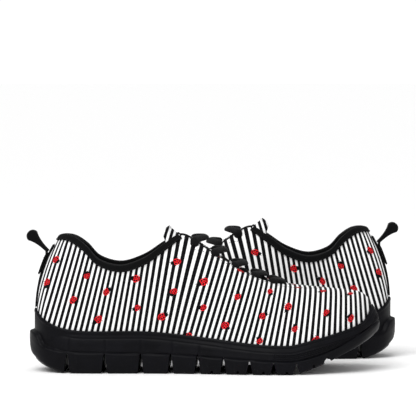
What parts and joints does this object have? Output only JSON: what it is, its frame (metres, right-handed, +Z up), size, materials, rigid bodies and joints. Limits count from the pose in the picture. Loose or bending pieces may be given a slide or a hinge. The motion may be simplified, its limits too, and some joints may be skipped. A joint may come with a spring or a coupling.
{
  "type": "pair of laced sports shoes",
  "caption": "Pair of low laced trainers: striped fabric upper, padded collar, tongue, flat laces, heel pull tab and a slit one-piece foam sole.",
  "frame": {"origin": "on the floor under the middle of the pair's bounding box", "axes": "+X towards the right shoe's toe, +Y across from the right shoe to the left shoe, +Z up"},
  "size_m": [0.3142, 0.2292, 0.1194],
  "materials": {
    "foam": "matt moulded foam",
    "rubber": "matt rubber",
    "board": "non-woven board",
    "sockliner": "brushed knit over foam",
    "printed_fabric": "woven fabric, black and white stripes with small red beetles",
    "mesh": "air mesh",
    "stiffener": "thermoplastic board",
    "stay_webbing": "close weave",
    "padding": "open-cell foam",
    "binding": "knitted edge binding",
    "webbing": "ribbed webbing",
    "lace": "braided flat lace"
  },
  "bodies": {
    "pair": {"right_midsole": "foam", "right_heel_tread": "rubber", "right_rear_tread": "rubber", "right_ball_tread": "rubber", "right_fore_tread": "rubber", "right_toe_tread": "rubber", "right_strobel_board": "board", "right_upper": "printed_fabric", "right_lining": "mesh", "right_heel_counter": "stiffener", "right_toe_puff": "stiffener", "right_lateral_eyestay": "stay_webbing", "right_medial_eyestay": "stay_webbing", "right_collar_foam": "padding", "right_collar_binding": "binding", "right_heel_tape": "webbing", "right_lace": "lace", "left_midsole": "foam", "left_heel_tread": "rubber", "left_rear_tread": "rubber", "left_ball_tread": "rubber", "left_fore_tread": "rubber", "left_toe_tread": "rubber", "left_strobel_board": "board", "left_upper": "printed_fabric", "left_lining": "mesh", "left_heel_counter": "stiffener", "left_toe_puff": "stiffener", "left_lateral_eyestay": "stay_webbing", "left_medial_eyestay": "stay_webbing", "left_collar_foam": "padding", "left_collar_binding": "binding", "left_heel_tape": "webbing", "left_lace": "lace"},
    "right_tongue": {"right_tongue_face": "printed_fabric", "right_tongue_foam": "padding", "right_tongue_lining": "mesh"},
    "right_pull_tab": {"right_pull_tab": "webbing"},
    "right_insole": {"right_insole": "sockliner"},
    "left_tongue": {"left_tongue_face": "printed_fabric", "left_tongue_foam": "padding", "left_tongue_lining": "mesh"},
    "left_pull_tab": {"left_pull_tab": "webbing"},
    "left_insole": {"left_insole": "sockliner"}
  },
  "joints": [
    {"name": "right_tongue_hinge", "type": "hinge", "parent": "pair", "child": "right_tongue", "pos_m": [0.066, -0.06381, 0.06], "axis": [0, 1, 0], "range_deg": [-6, 0], "stiffness_Nm_per_rad": 0.6},
    {"name": "right_pull_tab_hinge", "type": "hinge", "parent": "pair", "child": "right_pull_tab", "pos_m": [-0.1408, -0.06381, 0.0994], "axis": [0, 1, 0], "range_deg": [-40, 25], "stiffness_Nm_per_rad": 0.02},
    {"name": "right_insole_lift", "type": "hinge", "parent": "pair", "child": "right_insole", "pos_m": [0.1233, -0.05781, 0.0359], "axis": [0, 1, 0], "range_deg": [0, 4]},
    {"name": "left_tongue_hinge", "type": "hinge", "parent": "pair", "child": "left_tongue", "pos_m": [-0.066, 0.06419, 0.06], "axis": [0, -1, 0], "range_deg": [-6, 0], "stiffness_Nm_per_rad": 0.6},
    {"name": "left_pull_tab_hinge", "type": "hinge", "parent": "pair", "child": "left_pull_tab", "pos_m": [0.1408, 0.06419, 0.0994], "axis": [0, -1, 0], "range_deg": [-40, 25], "stiffness_Nm_per_rad": 0.02},
    {"name": "left_insole_lift", "type": "hinge", "parent": "pair", "child": "left_insole", "pos_m": [-0.1233, 0.07019, 0.0359], "axis": [0, -1, 0], "range_deg": [0, 4]}
  ]
}
